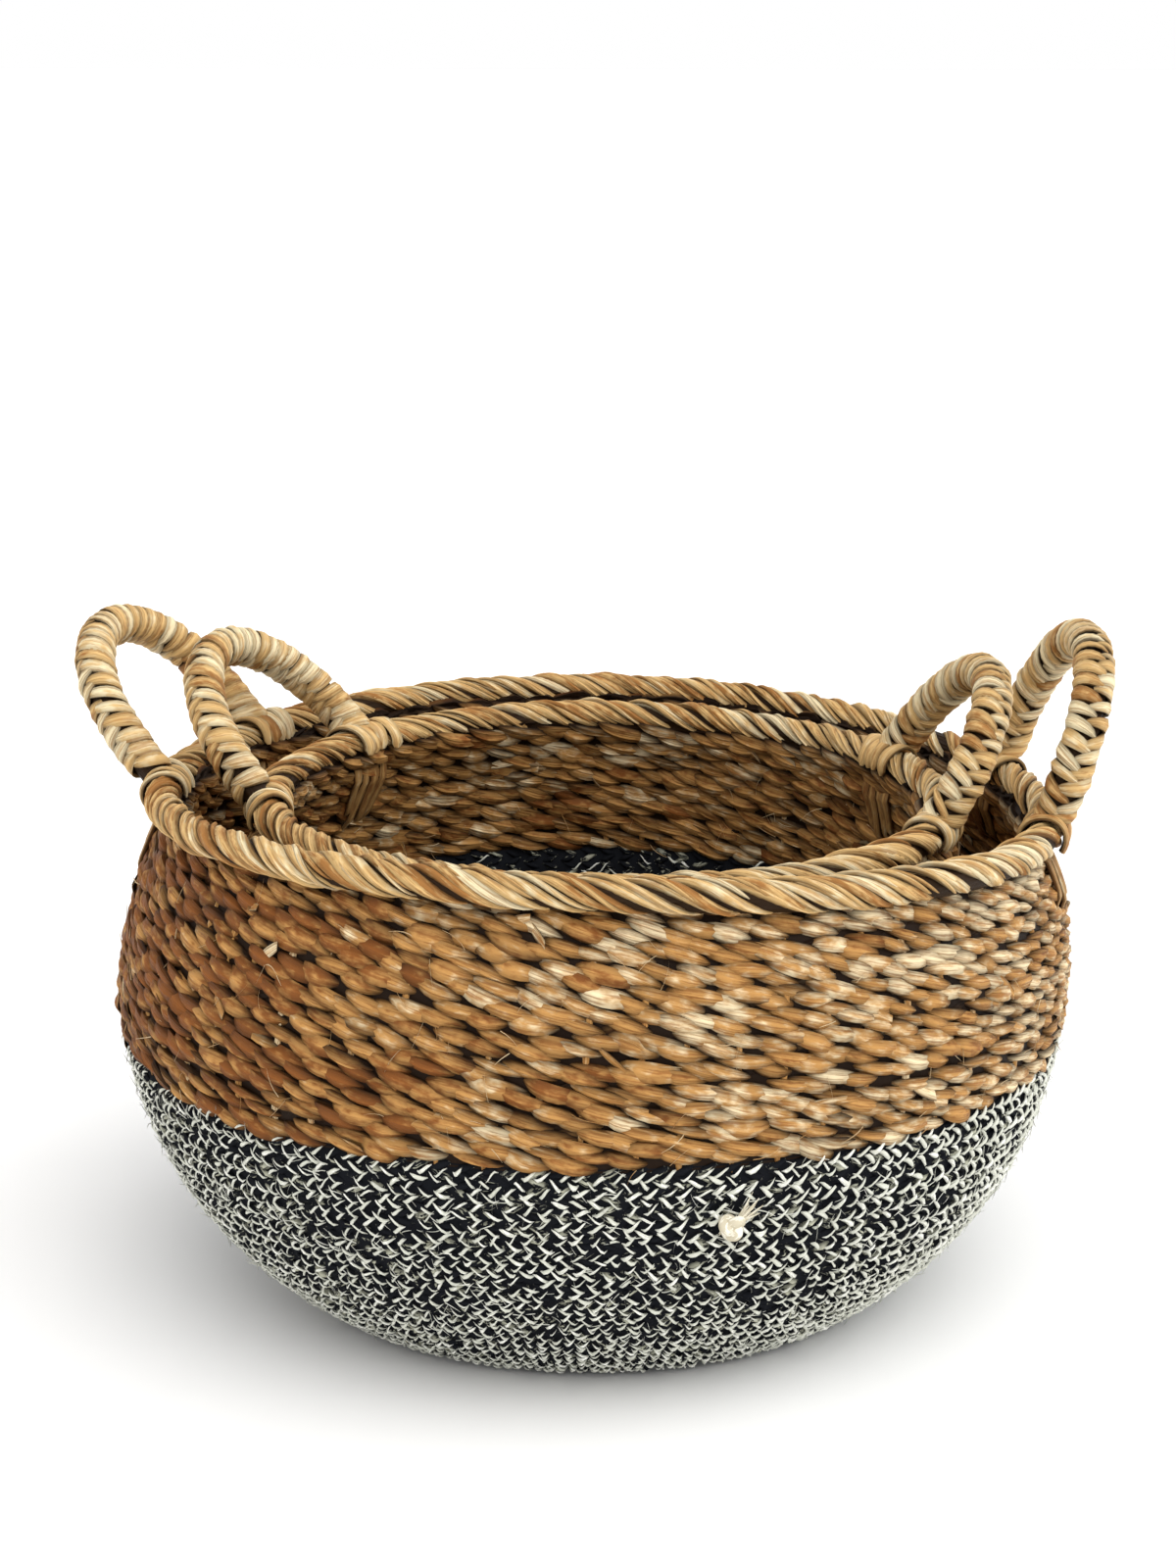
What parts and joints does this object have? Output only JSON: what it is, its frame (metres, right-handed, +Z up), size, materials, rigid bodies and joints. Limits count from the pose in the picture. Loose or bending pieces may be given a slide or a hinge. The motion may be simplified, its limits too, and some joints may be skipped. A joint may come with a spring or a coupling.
{
  "type": "seagrass storage basket",
  "caption": "Nested pair of round twined seagrass storage baskets with dark and cream yarn bowls, rope rims and wrapped loop handles.",
  "frame": {"origin": "centre of the large basket's flat base, on the surface it stands on", "axes": "+Z up; X through the two handle sides, with the right handles at +X; +Y towards the back"},
  "size_m": [0.4359, 0.4, 0.2891],
  "materials": {
    "seagrass": "dry fibrous matt",
    "straw": "dry fibrous matt",
    "yarn": "hairy matt",
    "stakes": "dry fibrous matt",
    "cloth": "frayed matt"
  },
  "bodies": {
    "large_basket": {"large_woven_base": "yarn", "large_yarn_weft_outside": "yarn", "large_yarn_weft_inside": "yarn", "large_seagrass_weft_outside": "seagrass", "large_seagrass_weft_inside": "seagrass", "large_stakes": "stakes", "large_rim_rope": "straw", "large_left_lashing_tails": "straw", "large_right_lashing_tails": "straw", "cloth_tie_knot": "cloth"},
    "large_left_handle": {"large_left_handle_wrap": "straw", "large_left_handle_core": "stakes", "large_left_front_lashing": "straw", "large_left_back_lashing": "straw"},
    "large_right_handle": {"large_right_handle_wrap": "straw", "large_right_handle_core": "stakes", "large_right_front_lashing": "straw", "large_right_back_lashing": "straw"},
    "small_basket": {"small_woven_base": "yarn", "small_yarn_weft_outside": "yarn", "small_yarn_weft_inside": "yarn", "small_seagrass_weft_outside": "seagrass", "small_seagrass_weft_inside": "seagrass", "small_stakes": "stakes", "small_rim_rope": "straw", "small_left_lashing_tails": "straw", "small_right_lashing_tails": "straw"},
    "small_left_handle": {"small_left_handle_wrap": "straw", "small_left_handle_core": "stakes", "small_left_front_lashing": "straw", "small_left_back_lashing": "straw"},
    "small_right_handle": {"small_right_handle_wrap": "straw", "small_right_handle_core": "stakes", "small_right_front_lashing": "straw", "small_right_back_lashing": "straw"}
  },
  "joints": [
    {"name": "small_basket_lift", "type": "slide", "parent": "large_basket", "child": "small_basket", "axis": [0, 0, 1], "range_m": [0, 0.3]},
    {"name": "large_left_handle_flex", "type": "hinge", "parent": "large_basket", "child": "large_left_handle", "pos_m": [-0.1728, 0.03047, 0.212], "axis": [-0.1736, -0.9848, 0], "range_deg": [-8, 8]},
    {"name": "large_right_handle_flex", "type": "hinge", "parent": "large_basket", "child": "large_right_handle", "pos_m": [0.1728, 0.03047, 0.212], "axis": [-0.1736, 0.9848, 0], "range_deg": [-8, 8]},
    {"name": "small_left_handle_flex", "type": "hinge", "parent": "small_basket", "child": "small_left_handle", "pos_m": [-0.12595, 0.02221, 0.206], "axis": [-0.1736, -0.9848, 0], "range_deg": [-8, 8]},
    {"name": "small_right_handle_flex", "type": "hinge", "parent": "small_basket", "child": "small_right_handle", "pos_m": [0.12595, 0.02221, 0.206], "axis": [-0.1736, 0.9848, 0], "range_deg": [-8, 8]}
  ]
}
